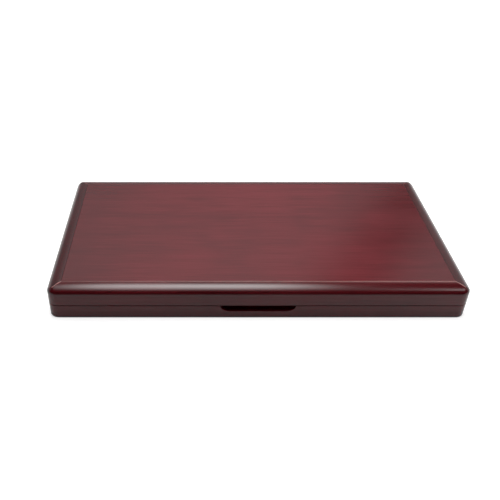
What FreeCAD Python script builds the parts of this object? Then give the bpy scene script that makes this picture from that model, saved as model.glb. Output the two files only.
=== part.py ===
"""Flat hinged presentation case in lacquered wood, modelled closed.

The base and the lid are mitred frames of four rails each, with a panel let into
a rebate. The lid rails carry a quarter-ellipse moulding up to the flat top panel.
Its hips are crisp at the panel and fade into the rounded upright corners. Two
brass butt hinges at the back carry the lid, whose back edge is bevelled with that
of the base so that the lid stops just past upright.

Millimetres. +Z is up, -Y is the front with the finger notch, +X is to the right
seen from the front. The origin is on the resting plane, under the middle.
"""
import FreeCAD
import Part
import math
import os

Vector = FreeCAD.Vector

# Outer form
case_width = 350.0
case_depth = 184.0
corner_radius = 8.5
rail_thickness = 13.5

# Heights, from the resting plane up
felt_proud = 0.6
base_rail_height = 12.0
seam_gap = 0.3
lid_side_height = 10.6
moulding_rise = 6.1
moulding_run = 11.6
moulding_steps = 10
hip_ease = 0.6
hip_fade = 6.0
hip_fade_power = 1.5

# Eased edges
seam_ease = 0.45
foot_round = 0.8

# Panels and their rebates
top_panel_thickness = 5.0
bottom_panel_thickness = 4.0
bottom_rebate_inset = 6.0
felt_thickness = 1.2
panel_clearance = 0.1
panel_ease = 0.5
felt_margin = 0.5

# Finger notch in the top edge of the front base rail
notch_width = 63.0
notch_drop = 5.8
notch_reach = 7.5
notch_end_run = 9.0
notch_cove = 3.0

# Linings
liner_thickness = 4.0
liner_lip = 2.6
liner_clearance = 0.3
liner_round = 1.2
lining_clearance = 0.6
pad_board_thickness = 1.5
pad_corner = 3.0
pad_tuck = 0.5
base_pad_thickness = 2.6
base_pad_roll = 2.0
base_pad_crown_run = 24.0
lid_pad_thickness = 4.4
lid_pad_roll = 3.4
lid_pad_crown_run = 30.0

# Hinges
hinge_from_end = 75.0
hinge_length = 36.0
pin_inset = 2.5
pin_radius = 0.9
pin_clearance = 0.05
barrel_radius = 2.0
barrel_clearance = 0.3
knuckle_count = 3
knuckle_gap = 0.15
leaf_thickness = 1.2
leaf_land = 1.5
mortise_clearance = 0.1
stop_bevel_angle = 51.0
bevel_start = 0.3

# Hinge screws
screw_radius = 1.1
screw_head_radius = 2.2
screw_from_leaf_end = 7.0
screw_clearance = 0.1
screw_cover = 0.9

# Closing magnets
magnet_radius = 4.0
magnet_thickness = 2.5
magnet_clearance = 0.05
magnet_from_end = 38.0

# Worked-out levels and lines
half_width = case_width / 2
half_depth = case_depth / 2
base_bottom = felt_proud
base_top = base_bottom + base_rail_height
lid_bottom = base_top + seam_gap
lid_side_top = lid_bottom + lid_side_height
lid_top = lid_side_top + moulding_rise
top_panel_bottom = lid_top - top_panel_thickness
bottom_panel_top = felt_thickness + bottom_panel_thickness
cavity_half_width = half_width - rail_thickness
cavity_half_depth = half_depth - rail_thickness
pin_y = half_depth - pin_inset
pin_z = base_top + seam_gap / 2
plate_back = pin_y - barrel_radius - barrel_clearance
leaf_front = half_depth - rail_thickness + leaf_land
screw_y = (plate_back + leaf_front) / 2
screw_length = base_top - bottom_panel_top - screw_cover
overcut = 1.0


def block(x0, x1, y0, y1, z0, z1):
    """A plain box between two corners."""
    return Part.makeBox(x1 - x0, y1 - y0, z1 - z0, Vector(x0, y0, z0))


def centred_block(half_x, half_y, z0, z1):
    """A box centred on the case's vertical axis."""
    return block(-half_x, half_x, -half_y, half_y, z0, z1)


def rounded_slab(half_x, half_y, radius, z0, z1):
    """A slab with rounded vertical corners, centred on the case's vertical axis."""
    slab = centred_block(half_x, half_y, z0, z1)
    upright = [e for e in slab.Edges if abs(e.tangentAt(e.FirstParameter).z) > 0.5]
    return slab.makeFillet(radius, upright)


def outer_edges_at(shape, level):
    """The outline edges of the flat face of a shape that lies at this height."""
    for face in shape.Faces:
        flat = abs(face.normalAt(0, 0).z) > 0.99
        if flat and abs(face.CenterOfMass.z - level) < 1e-6:
            return face.OuterWire.Edges
    raise ValueError("no flat face at this height")


def prism(points, along):
    """A polygon carried along a vector."""
    return Part.Face(Part.makePolygon(points + points[:1])).extrude(along)


def mitre_wedges(z0, z1):
    """Four upright wedges that meet on the 45 degree lines through the corners."""
    x = half_width + overcut
    y = half_depth + overcut
    ridge = x - y
    tall = Vector(0, 0, z1 - z0)
    front_left = Vector(-x, -y, z0)
    front_right = Vector(x, -y, z0)
    rear_right = Vector(x, y, z0)
    rear_left = Vector(-x, y, z0)
    ridge_left = Vector(-ridge, 0, z0)
    ridge_right = Vector(ridge, 0, z0)
    return {
        "front": prism([front_left, front_right, ridge_right, ridge_left], tall),
        "rear": prism([rear_right, rear_left, ridge_left, ridge_right], tall),
        "left": prism([rear_left, front_left, ridge_left], tall),
        "right": prism([front_right, rear_right, ridge_right], tall),
    }


def mitred_rails(frame, z0, z1):
    """Cuts a closed frame into its four mitred rails."""
    wedges = mitre_wedges(z0 - overcut, z1 + overcut)
    return {side: frame.common(wedge) for side, wedge in wedges.items()}


def rounded_outline(half_x, half_y, radius, z):
    """A rounded rectangle at one height: an arc at each corner and a line along each side."""
    arcs = []
    for quarter, (sx, sy) in enumerate(((1, -1), (1, 1), (-1, 1), (-1, -1))):
        centre = Vector(sx * (half_x - radius), sy * (half_y - radius), z)
        turns = [math.radians(90 * quarter - 90 + turn) for turn in (0, 45, 90)]
        arcs.append([centre + Vector(radius * math.cos(t), radius * math.sin(t), 0) for t in turns])
    edges = []
    for here, there in zip(arcs, arcs[1:] + arcs[:1]):
        edges.append(Part.Arc(*here).toShape())
        edges.append(Part.makeLine(here[-1], there[0]))
    return Part.Wire(edges)


def moulding_outline(turn):
    """The lid's outline where the quarter ellipse has turned this far from its foot to its crown."""
    inset = moulding_run * (1 - math.cos(turn))
    z = lid_side_top + moulding_rise * math.sin(turn)
    fading = max(0, 1 - inset / hip_fade)
    radius = hip_ease + (corner_radius - hip_ease) * fading ** hip_fade_power
    return rounded_outline(half_width - inset, half_depth - inset, radius, z)


def moulded_lid_block():
    """The lid as a solid block: upright sides, then the moulding as a loft through its outlines."""
    sides = rounded_slab(half_width, half_depth, corner_radius, lid_bottom, lid_side_top)
    sides = sides.makeChamfer(seam_ease, outer_edges_at(sides, lid_bottom))
    turns = [math.pi / 2 * k / moulding_steps for k in range(moulding_steps + 1)]
    moulding = Part.makeLoft([moulding_outline(turn) for turn in turns], True, True)
    return sides.fuse(moulding).removeSplitter()


def stop_bevel(direction):
    """The bevel along the back edge, below the lid (+1) or above the base (-1)."""
    start = pin_y - bevel_start
    level = lid_bottom if direction > 0 else base_top
    run = half_depth + overcut - start
    rise = run * math.tan(math.radians(stop_bevel_angle))
    x = half_width + overcut
    corners = [
        Vector(-x, start, level),
        Vector(-x, start + run, level + direction * rise),
        Vector(-x, start + run, level - direction * overcut),
        Vector(-x, start, level - direction * overcut),
    ]
    return prism(corners, Vector(2 * x, 0, 0))


def hinge_centres():
    x = half_width - hinge_from_end
    return [("left", -x), ("right", x)]


def screw_places(hinge_x):
    """The x of the two screws in a leaf of the hinge at this x."""
    reach = hinge_length / 2 - screw_from_leaf_end
    return [hinge_x - reach, hinge_x + reach]


def hinge_housing(direction):
    """What the back rail gives up to the hinges: leaf mortises, barrel grooves, pilots."""
    level = lid_bottom if direction > 0 else base_top
    half = hinge_length / 2 + mortise_clearance
    cuts = []
    for _, x in hinge_centres():
        z0, z1 = sorted((level - direction * overcut, level + direction * leaf_thickness))
        cuts.append(block(x - half, x + half, leaf_front - mortise_clearance, pin_y, z0, z1))
        start = Vector(x - half, pin_y, pin_z)
        cuts.append(Part.makeCylinder(barrel_radius + barrel_clearance, 2 * half, start, Vector(1, 0, 0)))
        for screw_x in screw_places(x):
            place = Vector(screw_x, screw_y, level)
            radius = screw_radius + screw_clearance
            depth = screw_length + screw_clearance
            cuts.append(Part.makeCylinder(radius, depth, place, Vector(0, 0, direction)))
    return cuts


def magnet_places():
    x = half_width - magnet_from_end
    y = -half_depth + rail_thickness / 2
    return [(-x, y), (x, y)]


def magnet_pockets(direction):
    """Blind pockets for the closing magnets in a front rail."""
    level = lid_bottom if direction > 0 else base_top
    up = Vector(0, 0, direction)
    radius = magnet_radius + magnet_clearance
    depth = magnet_thickness + magnet_clearance
    return [Part.makeCylinder(radius, depth, Vector(x, y, level), up) for x, y in magnet_places()]


def quarter_ellipse(one_end, other_end, centre):
    """A quarter of an ellipse between the ends of its two half-axes."""
    long_end, short_end = sorted((one_end, other_end), key=centre.distanceToPoint, reverse=True)
    return Part.ArcOfEllipse(Part.Ellipse(long_end, short_end, centre), 0, math.pi / 2).toShape()


def finger_notch():
    """The scoop: quarter-ellipse ends, a flat floor and a cove along the back."""
    y = -half_depth - overcut
    half = notch_width / 2
    flat = half - notch_end_run
    floor = base_top - notch_drop
    brow = base_top + overcut
    edges = [
        Part.makeLine(Vector(-half, y, brow), Vector(-half, y, base_top)),
        quarter_ellipse(Vector(-half, y, base_top), Vector(-flat, y, floor), Vector(-flat, y, base_top)),
        Part.makeLine(Vector(-flat, y, floor), Vector(flat, y, floor)),
        quarter_ellipse(Vector(half, y, base_top), Vector(flat, y, floor), Vector(flat, y, base_top)),
        Part.makeLine(Vector(half, y, base_top), Vector(half, y, brow)),
        Part.makeLine(Vector(half, y, brow), Vector(-half, y, brow)),
    ]
    outline = Part.Face(Part.Wire(Part.__sortEdges__(edges)))
    scoop = outline.extrude(Vector(0, notch_reach + overcut, 0))
    back = -half_depth + notch_reach
    cove = [
        e
        for e in scoop.Edges
        if all(abs(v.Y - back) < 1e-6 for v in e.Vertexes)
        and not all(abs(v.Z - brow) < 1e-6 for v in e.Vertexes)
    ]
    return scoop.makeFillet(notch_cove, cove)


def base_rails():
    outer = rounded_slab(half_width, half_depth, corner_radius, base_bottom, base_top)
    outer = outer.makeFillet(foot_round, outer_edges_at(outer, base_bottom))
    outer = outer.makeChamfer(seam_ease, outer_edges_at(outer, base_top))
    cavity = centred_block(cavity_half_width, cavity_half_depth, base_bottom - overcut, base_top + overcut)
    rebate_half_width = half_width - bottom_rebate_inset
    rebate_half_depth = half_depth - bottom_rebate_inset
    rebate = centred_block(rebate_half_width, rebate_half_depth, base_bottom - overcut, bottom_panel_top)
    rails = mitred_rails(outer.cut([cavity, rebate, stop_bevel(-1)]), base_bottom, base_top)
    rails["front"] = rails["front"].cut([finger_notch()] + magnet_pockets(-1))
    rails["rear"] = rails["rear"].cut(hinge_housing(-1))
    return {f"base_{side}_rail": rail for side, rail in rails.items()}


def lid_rails():
    cavity = centred_block(cavity_half_width, cavity_half_depth, lid_bottom - overcut, lid_top + overcut)
    rebate_half_width = half_width - moulding_run
    rebate_half_depth = half_depth - moulding_run
    rebate = centred_block(rebate_half_width, rebate_half_depth, top_panel_bottom, lid_top + overcut)
    rails = mitred_rails(moulded_lid_block().cut([cavity, rebate, stop_bevel(1)]), lid_bottom, lid_top)
    rails["front"] = rails["front"].cut(magnet_pockets(1))
    rails["rear"] = rails["rear"].cut(hinge_housing(1))
    return {f"lid_{side}_rail": rail for side, rail in rails.items()}


def panels():
    top_x = half_width - moulding_run - panel_clearance
    top_y = half_depth - moulding_run - panel_clearance
    bottom_x = half_width - bottom_rebate_inset - panel_clearance
    bottom_y = half_depth - bottom_rebate_inset - panel_clearance
    top_panel = centred_block(top_x, top_y, top_panel_bottom, lid_top)
    return {
        "lid_top_panel": top_panel.makeChamfer(panel_ease, outer_edges_at(top_panel, lid_top)),
        "base_bottom_panel": centred_block(bottom_x, bottom_y, felt_thickness, bottom_panel_top),
        "base_felt_sheet": centred_block(bottom_x - felt_margin, bottom_y - felt_margin, 0, felt_thickness),
    }


def liner_strip(x0, x1, y0, y1, z0, z1):
    """A cloth-wrapped strip with its upper long edges rounded by the wrap."""
    strip = block(x0, x1, y0, y1, z0, z1)
    along_x = (x1 - x0) > (y1 - y0)
    long_edges = [
        e
        for e in strip.Edges
        if all(abs(v.Z - z1) < 1e-6 for v in e.Vertexes)
        and abs(e.tangentAt(e.FirstParameter).x if along_x else e.tangentAt(e.FirstParameter).y) > 0.5
    ]
    return strip.makeFillet(liner_round, long_edges)


def base_liners():
    """Four strips that line the base walls and stand proud, so that the lid drops over them."""
    x = cavity_half_width - liner_clearance
    y = cavity_half_depth - liner_clearance
    z0 = bottom_panel_top
    z1 = base_top + liner_lip
    t = liner_thickness
    return {
        "base_liner_front": liner_strip(-x, x, -y, -y + t, z0, z1),
        "base_liner_rear": liner_strip(-x, x, y - t, y, z0, z1),
        "base_liner_left": liner_strip(-x, -x + t, -y + t, y - t, z0, z1),
        "base_liner_right": liner_strip(x - t, x, -y + t, y - t, z0, z1),
    }


def pad(half_x, half_y, level, thickness, roll, crown_run):
    """A padded board's cloth: tucked in at the board, rolled at the edge, then rising to its crown.

    Each step is an inset from the widest outline and a share of the thickness. A negative
    thickness hangs down.
    """
    steps = [(pad_tuck, 0.0), (0.0, 0.35), (roll * 0.3, 0.68), (roll, 0.86), (crown_run, 1.0)]
    outlines = []
    for inset, share in steps:
        z = level + share * thickness
        outlines.append(rounded_outline(half_x - inset, half_y - inset, pad_corner, z))
    return Part.makeLoft(outlines, True, True)


def linings():
    wall = liner_clearance + liner_thickness + lining_clearance
    base_x = cavity_half_width - wall
    base_y = cavity_half_depth - wall
    base_board_top = bottom_panel_top + pad_board_thickness
    lid_x = cavity_half_width - lining_clearance
    lid_y = cavity_half_depth - lining_clearance
    lid_board_bottom = top_panel_bottom - pad_board_thickness
    base_form = (base_pad_thickness, base_pad_roll, base_pad_crown_run)
    lid_form = (-lid_pad_thickness, lid_pad_roll, lid_pad_crown_run)
    return {
        "base_pad_board": centred_block(base_x, base_y, bottom_panel_top, base_board_top),
        "base_pad": pad(base_x, base_y, base_board_top, *base_form),
        "lid_pad_board": centred_block(lid_x, lid_y, lid_board_bottom, top_panel_bottom),
        "lid_pad": pad(lid_x, lid_y, lid_board_bottom, *lid_form),
    }


def hinge_leaf(x, direction, own_knuckles):
    """One leaf: a plate in its mortise, and the knuckles that it wraps round the pin."""
    level = lid_bottom if direction > 0 else base_top
    z0, z1 = sorted((level, level + direction * leaf_thickness))
    half = hinge_length / 2
    pieces = [block(x - half, x + half, leaf_front, plate_back, z0, z1)]
    pitch = hinge_length / knuckle_count
    for k in own_knuckles:
        start = x - half + k * pitch + knuckle_gap / 2
        length = pitch - knuckle_gap
        pieces.append(block(start, start + length, plate_back, pin_y, z0, z1))
        pieces.append(Part.makeCylinder(barrel_radius, length, Vector(start, pin_y, pin_z), Vector(1, 0, 0)))
    leaf = pieces[0].multiFuse(pieces[1:]).removeSplitter()
    bore_start = Vector(x - half - overcut, pin_y, pin_z)
    bore_length = hinge_length + 2 * overcut
    cuts = [Part.makeCylinder(pin_radius + pin_clearance, bore_length, bore_start, Vector(1, 0, 0))]
    for screw_x in screw_places(x):
        cuts.append(screw_form(screw_x, level, direction, screw_clearance))
    return leaf.cut(cuts)


def screw_form(x, level, direction, room):
    """A countersunk screw, its head flush at this level, grown by room on its radius."""
    sink = direction * (screw_head_radius - screw_radius)
    head = screw_head_radius + room
    shank = screw_radius + room
    tip = direction * screw_length
    profile = [(0, 0), (head, 0), (shank, sink), (shank, tip), (0, tip), (0, 0)]
    outline = Part.makePolygon([Vector(radius, 0, z) for radius, z in profile])
    form = Part.Face(outline).revolve(Vector(0, 0, 0), Vector(0, 0, 1), 360)
    return form.translated(Vector(x, screw_y, level))


def hinges():
    parts = {}
    base_knuckles = range(0, knuckle_count, 2)
    lid_knuckles = range(1, knuckle_count, 2)
    for side, x in hinge_centres():
        parts[f"hinge_{side}_base_leaf"] = hinge_leaf(x, -1, base_knuckles)
        parts[f"hinge_{side}_lid_leaf"] = hinge_leaf(x, 1, lid_knuckles)
        start = Vector(x - hinge_length / 2, pin_y, pin_z)
        parts[f"hinge_{side}_pin"] = Part.makeCylinder(pin_radius, hinge_length, start, Vector(1, 0, 0))
    for name, direction, level in (("base", -1, base_top), ("lid", 1, lid_bottom)):
        places = [screw_x for _, x in hinge_centres() for screw_x in screw_places(x)]
        screws = [screw_form(screw_x, level, direction, 0) for screw_x in places]
        parts[f"{name}_hinge_screws"] = Part.makeCompound(screws)
    return parts


def magnets():
    parts = {}
    for name, direction, level in (("base", -1, base_top), ("lid", 1, lid_bottom)):
        up = Vector(0, 0, direction)
        discs = []
        for x, y in magnet_places():
            face = Vector(x, y, level + direction * magnet_clearance)
            discs.append(Part.makeCylinder(magnet_radius, magnet_thickness, face, up))
        parts[f"{name}_magnets"] = Part.makeCompound(discs)
    return parts


def main():
    parts = {}
    for group in (base_rails(), lid_rails(), panels(), base_liners(), linings(), hinges(), magnets()):
        parts.update(group)
    os.makedirs("parts", exist_ok=True)
    for name, shape in parts.items():
        shape.exportStep(os.path.join("parts", f"{name}.step"))
        print(f"{name}: {len(shape.Solids)} solids, {shape.Volume:.0f} mm3, valid {shape.isValid()}")


main()
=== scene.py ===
"""The looks of a flat hinged presentation case in lacquered wood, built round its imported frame.

Metres, in the frame of the case: +Z is up, the finger notch is at -Y and +X is to the right.
The sections follow the case as it is put together, from the base frame to the magnets, and the
studio that it stands in comes last.
"""
import math

import bpy
import numpy as np
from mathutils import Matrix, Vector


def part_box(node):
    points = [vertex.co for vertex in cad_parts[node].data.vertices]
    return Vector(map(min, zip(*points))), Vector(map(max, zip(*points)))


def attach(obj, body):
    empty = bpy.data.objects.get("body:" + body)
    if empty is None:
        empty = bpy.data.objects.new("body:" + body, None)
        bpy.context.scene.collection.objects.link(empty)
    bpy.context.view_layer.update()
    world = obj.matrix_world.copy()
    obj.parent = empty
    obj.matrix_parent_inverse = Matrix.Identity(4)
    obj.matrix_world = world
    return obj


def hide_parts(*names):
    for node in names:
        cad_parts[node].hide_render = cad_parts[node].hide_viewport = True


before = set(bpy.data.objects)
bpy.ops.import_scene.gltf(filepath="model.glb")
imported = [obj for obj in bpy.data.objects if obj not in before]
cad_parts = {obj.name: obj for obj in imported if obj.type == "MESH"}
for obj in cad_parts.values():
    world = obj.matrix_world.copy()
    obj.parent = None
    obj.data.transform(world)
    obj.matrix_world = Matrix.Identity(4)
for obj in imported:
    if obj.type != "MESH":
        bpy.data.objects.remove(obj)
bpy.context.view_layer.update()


# Base frame
# Four rails of straight-grained hardwood, mitred at the corners, stained red and lacquered. They
# are glued up round the bottom panel, bevelled along the back edge and scooped at the front.
mm = 0.001
scene = bpy.context.scene
front_low, front_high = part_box("base_front_rail")
half_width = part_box("base_right_rail")[1].x
half_depth = -front_low.y
base_bottom = front_low.z
base_top = front_high.z
rail_thickness = front_high.y - front_low.y
panel_clearance = 0.1 * mm
bottom_panel_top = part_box("base_bottom_panel")[1].z
bottom_rebate = half_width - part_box("base_bottom_panel")[1].x - panel_clearance
corner_radius = 8.5 * mm
foot_round = 0.8 * mm
seam_ease = 0.45 * mm
edge_support = 0.12 * mm
end_run = 9 * mm
end_rows = 26
crease_angle = math.radians(35)

notch_width = 63 * mm
notch_drop = 5.8 * mm
notch_reach = 7.5 * mm
notch_end_run = 9 * mm
notch_cove = 3 * mm
notch_wall_lean = 0.3 * mm

leaf_low, leaf_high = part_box("hinge_right_base_leaf")
hinge_x = (leaf_low.x + leaf_high.x) / 2
pin_low, pin_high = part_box("hinge_right_pin")
pin_inset = half_depth - (pin_low.y + pin_high.y) / 2
pin_above_rim = (pin_low.z + pin_high.z) / 2 - base_top
mortise_clearance = 0.1 * mm
mortise_half = (leaf_high.x - leaf_low.x) / 2 + mortise_clearance
mortise_inset = half_depth - leaf_low.y + mortise_clearance
mortise_depth = 1.2 * mm
groove_radius = 2.3 * mm
groove_start = 122
groove_end = 36
mortise_gap = 0.02 * mm
mortise_lean = 0.05 * mm
bevel_past_pin = 0.3 * mm
bevel_run = pin_inset + bevel_past_pin
bevel_slope = math.tan(math.radians(51))

# Marks in the wood and its film: length, width and thickness in millimetres, and their noise's detail.
wood_marks = {
    "figure": ((150, 7, 7), 3.0),
    "fibre": ((38, 0.8, 0.8), 2.0),
    "pores": ((9, 0.5, 0.5), 1.0),
    "ripple": ((3.2, 2.4, 2.4), 1.0),
    "cloud": ((70, 50, 50), 2.0),
}
stain_dark = "#540d15"
stain_mid = "#601119"
stain_light = "#6c1720"
# The pale colour of rubbed edges: worn-through lacquer, and a painted highlight along arris and hips.
edge_wear_and_highlight = "#b07f7b"
# A grey that multiplies the stain for painted shade, and where along X that shade begins towards the ends.
painted_shade_tint = "#a8a8a8"
painted_shade_start = 60 * mm


def linear(hex_colour):
    """An sRGB hex colour as linear red, green, blue and full alpha."""
    channels = np.array([int(hex_colour[k:k + 2], 16) for k in (1, 3, 5)]) / 255
    curve = np.where(channels <= 0.04045, channels / 12.92, ((channels + 0.055) / 1.055) ** 2.4)
    return (*curve.tolist(), 1.0)


def add_node(tree, kind, inputs=(), stops=(), **settings):
    """Adds a node with its settings, inputs (values or links) and colour stops, and gives its outputs."""
    node = tree.nodes.new("ShaderNode" + kind)
    for name, value in settings.items():
        setattr(node, name, value)
    for socket, value in dict(inputs).items():
        if isinstance(value, bpy.types.NodeSocket):
            tree.links.new(value, node.inputs[socket])
        else:
            node.inputs[socket].default_value = value
    for k, (position, colour) in enumerate(stops):
        elements = node.color_ramp.elements
        element = elements[k] if k < len(elements) else elements.new(position)
        element.position = position
        element.color = linear(colour)
    return node.outputs


def new_material(name):
    """An empty node material and its tree."""
    material = bpy.data.materials.new(name)
    material.use_nodes = True
    material.node_tree.nodes.clear()
    return material, material.node_tree


def grain(tree, size, detail):
    """Noise whose marks are about this size in millimetres, all ways or along X, Y and Z."""
    place = add_node(tree, "TexCoord")["Object"]
    scale = 1 / (np.broadcast_to(size, 3) * mm)
    mapped = add_node(tree, "Mapping", {"Vector": place, "Scale": scale})["Vector"]
    return add_node(tree, "TexNoise", {"Vector": mapped, "Scale": 1.0, "Detail": detail})["Fac"]


def lacquered_wood(name, along, painted_shade_at_ends=0.0):
    """Red-stained hardwood under rubbed satin lacquer, with its grain along X or Y.

    The stain is a little darker in the fine grain and cloudy over a hand's breadth. Painted shade
    darkens it along the mouldings, and more and more towards the ends of the case. The film is level
    but for a faint ripple, and paler along rubbed edges, partly from wear and partly a painted highlight.
    """
    material, tree = new_material(name)
    order = (0, 1, 2) if along == "X" else (1, 0, 2)
    marks = {}
    for mark, (size, detail) in wood_marks.items():
        marks[mark] = grain(tree, [size[k] for k in order], detail)
    streak = add_node(tree, "Mix", {0: 0.5, 2: marks["fibre"], 3: marks["cloud"]})[0]
    shade = add_node(tree, "Mix", {0: 0.2, 2: streak, 3: marks["figure"]})[0]
    stain = [(0.36, stain_dark), (0.5, stain_mid), (0.64, stain_light)]
    stained = add_node(tree, "ValToRGB", {"Fac": shade}, stain)[0]
    # Painted shade: the stain darkens towards the ends of the case, and along mouldings by a stored amount.
    axes = add_node(tree, "SeparateXYZ", {0: add_node(tree, "TexCoord")["Object"]})
    sideways = add_node(tree, "Math", {0: axes["X"]}, operation="ABSOLUTE")[0]
    ends = {"Value": sideways, "From Min": painted_shade_start, "From Max": half_width, "To Max": painted_shade_at_ends}
    ends = add_node(tree, "MapRange", ends, interpolation_type="SMOOTHSTEP")[0]
    painted_shade_amount = add_node(tree, "Attribute", attribute_name="painted_shade")["Fac"]
    painted_shade = add_node(tree, "Math", {0: painted_shade_amount, 1: ends}, operation="MAXIMUM")[0]
    stain_with_painted_shade = {0: painted_shade, 6: stained, 7: linear(painted_shade_tint)}
    stain_with_painted_shade = add_node(tree, "Mix", stain_with_painted_shade, data_type="RGBA", blend_type="MULTIPLY")[2]
    # Rubbed edges turn pale: partly wear, partly a painted highlight.
    rub_and_highlight = add_node(tree, "Attribute", attribute_name="edge_rub_and_highlight")["Fac"]
    worn_and_highlight = {0: rub_and_highlight, 6: stain_with_painted_shade, 7: linear(edge_wear_and_highlight)}
    relief = add_node(tree, "Mix", {0: 0.67, 2: marks["pores"], 3: marks["ripple"]})[0]
    film = {"Height": relief, "Strength": 0.03, "Distance": 0.3 * mm}
    gloss = {"Value": marks["cloud"], "From Min": 0.3, "From Max": 0.7, "To Min": 0.15, "To Max": 0.21}
    lacquer = {
        "Base Color": add_node(tree, "Mix", worn_and_highlight, data_type="RGBA")[2],
        "Roughness": add_node(tree, "MapRange", gloss)[0],
        "Normal": add_node(tree, "Bump", film)[0],
        "IOR": 1.47,
    }
    shader = add_node(tree, "BsdfPrincipled", lacquer)[0]
    add_node(tree, "OutputMaterial", {"Surface": shader})
    return material


def arc(centre, radii, start, end, count):
    """Points of a circle or an ellipse, with one radius or two, from one angle to another in degrees."""
    turn = np.radians(np.linspace(start, end, count))
    return np.array(centre) + np.array(radii) * np.stack([np.cos(turn), np.sin(turn)], 1)


def flat_run(start, end):
    """A point close to each end of a straight run, which keeps the run's shading flat."""
    start, end = np.array(start), np.array(end)
    step = (end - start) / np.linalg.norm(end - start) * edge_support
    return np.array([start + step, end - step])


def rail_points(half_length, inset, height, corner, middle):
    """A mitred rail as rows along it and columns round its section: distance along, inset, height.

    A section point keeps its inset along the rail. At each end it turns through half of a rounded
    corner, inset + r - sqrt(r^2 - over^2), where over is how far it has passed the corner's start,
    and stops on the mitre. Rows close up towards the mitre as the square of their distance.
    """
    stop = half_length - inset - corner * (1 - math.sqrt(0.5))
    closing = np.linspace(1, 0, end_rows)[:, None] ** 2 * end_run
    right = stop - closing
    centre = np.broadcast_to(middle[:, None], (len(middle), len(inset)))
    along = np.vstack([-right[::-1], centre, right])
    over = np.maximum(np.abs(along) - (half_length - inset - corner), 0)
    inward = inset + corner - np.sqrt(np.maximum(corner ** 2 - over ** 2, 0))
    return np.stack([along, inward, np.pad(height, ((end_rows, end_rows), (0, 0)), "edge")], 2)


def place_rail(points, side):
    """Sets a rail's points on one side of the case, by quarter turns about the upright axis."""
    across = half_depth if side in ("front", "rear") else half_width
    x, y, z = points[..., 0], points[..., 1] - across, points[..., 2]
    for _ in range(("front", "right", "rear", "left").index(side)):
        x, y = -y, x
    return np.stack([x, y, z], 2)


def swept_mesh(name, points):
    """A mesh of closed forms, each of them rows of closed sections with a cap at each end.

    Four-sided faces join each row to the next, and the last axes of points are rows, columns, xyz.
    """
    forms = points.reshape(-1, *points.shape[-3:])
    count, rows, columns = forms.shape[:3]
    index = np.arange(count * rows * columns).reshape(count, rows, columns)
    here, there = index[:, :-1], index[:, 1:]
    quads = np.stack([here, there, np.roll(there, -1, 2), np.roll(here, -1, 2)], 3).reshape(-1, 4)
    caps = index[:, 0].tolist() + index[:, -1, ::-1].tolist()
    mesh = bpy.data.meshes.new(name)
    mesh.from_pydata(forms.reshape(-1, 3).tolist(), [], quads.tolist() + caps)
    mesh.shade_smooth()
    mesh.set_sharp_from_angle(angle=crease_angle)
    return mesh


def add_piece(mesh, material, body, node):
    """Shows a mesh in place of a CAD node, riding on its body and taking its finish."""
    piece = bpy.data.objects.new(mesh.name, mesh)
    scene.collection.objects.link(piece)
    mesh.materials.append(material)
    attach(piece, body)
    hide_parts(node)
    return piece


def store(mesh, name, amount):
    """Stores a value at each point of a mesh, for its material to read."""
    mesh.attributes.new(name, "FLOAT", "POINT").data.foreach_set("value", amount.ravel())


def plain_rim(along):
    """A rim that is the same all along: an eased outer edge, then flat. Insets, and depths below the seam."""
    eased = arc((seam_ease, seam_ease), seam_ease, 180, 270, 5)
    level = flat_run((seam_ease, 0), (rail_thickness, 0))
    rim = np.vstack([eased, level, [(rail_thickness, 0)]])
    return rim[:, 0], rim[:, 1][None]


def along_rail(rows):
    """Distances along a rail that hold these rows, between the two turned ends."""
    return np.unique(np.hstack([-np.array(rows), rows]))


def notch_rows():
    """Rows along the front rail that follow the quarter-ellipse ends of the finger notch."""
    turn = np.radians(np.linspace(0, 90, 19))
    flat = notch_width / 2 - notch_end_run
    return along_rail(np.hstack([[0, flat / 2], flat + notch_end_run * np.sin(turn)]))


def notch_rim(along):
    """The front rim with the finger notch: an eased lip, a flat floor, a cove and a back wall.

    The floor's depth is drop * sqrt(1 - t^2), where t goes from 0 to 1 along each rounded end, and
    the cove takes up as much of the floor's depth as its radius.
    """
    t = np.clip((np.abs(along) - notch_width / 2 + notch_end_run) / notch_end_run, 0, 1)
    floor = notch_drop * np.sqrt(1 - t ** 2)
    eased = arc((seam_ease, seam_ease), seam_ease, 180, 270, 5)
    level = flat_run((seam_ease, 0), (notch_reach - notch_cove, 0))
    cove = arc((notch_reach - notch_cove, 0), (notch_cove, 1), 270, 360, 9)
    rise = np.minimum(floor, notch_cove)[:, None] * (1 + cove[:, 1])
    wall_top = notch_reach + notch_wall_lean
    level_rim = flat_run((wall_top, 0), (rail_thickness, 0))
    lip = np.vstack([eased, level])
    inset = np.hstack([lip[:, 0], cove[:, 0], [wall_top], level_rim[:, 0], [rail_thickness]])
    flush = np.zeros((len(along), 4))
    depth = np.hstack([floor[:, None] + lip[:, 1], floor[:, None] - rise, flush])
    return inset, depth


def hinge_rows():
    """Rows along a rear rail: a close pair at each end of each hinge mortise."""
    ends = np.array([hinge_x - mortise_half, hinge_x + mortise_half])
    return along_rail(np.hstack([[0], ends, ends + np.array([-mortise_gap, mortise_gap])]))


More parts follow.
